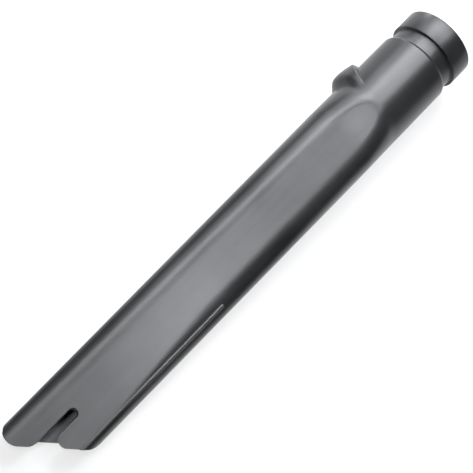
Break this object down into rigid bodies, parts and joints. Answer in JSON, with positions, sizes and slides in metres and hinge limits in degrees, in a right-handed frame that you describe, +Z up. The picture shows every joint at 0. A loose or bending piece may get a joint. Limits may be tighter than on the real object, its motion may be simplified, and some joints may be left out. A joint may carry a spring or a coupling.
{
  "type": "vacuum crevice tool",
  "caption": "Vacuum crevice tool: a round spigot with a latch groove flattens into a long blade with a slanted, slotted suction mouth.",
  "frame": {"origin": "centre of the bounding box at floor level, with the tool lying on its back as it comes to rest", "axes": "+Y along the tool towards the spigot, +X towards the short side of the mouth, +Z up, out of the slotted face"},
  "size_m": [0.042, 0.3116, 0.0403],
  "materials": {
    "moulded_plastic": "satin"
  },
  "bodies": {
    "root": {"crevice_tool": "moulded_plastic"}
  },
  "joints": []
}
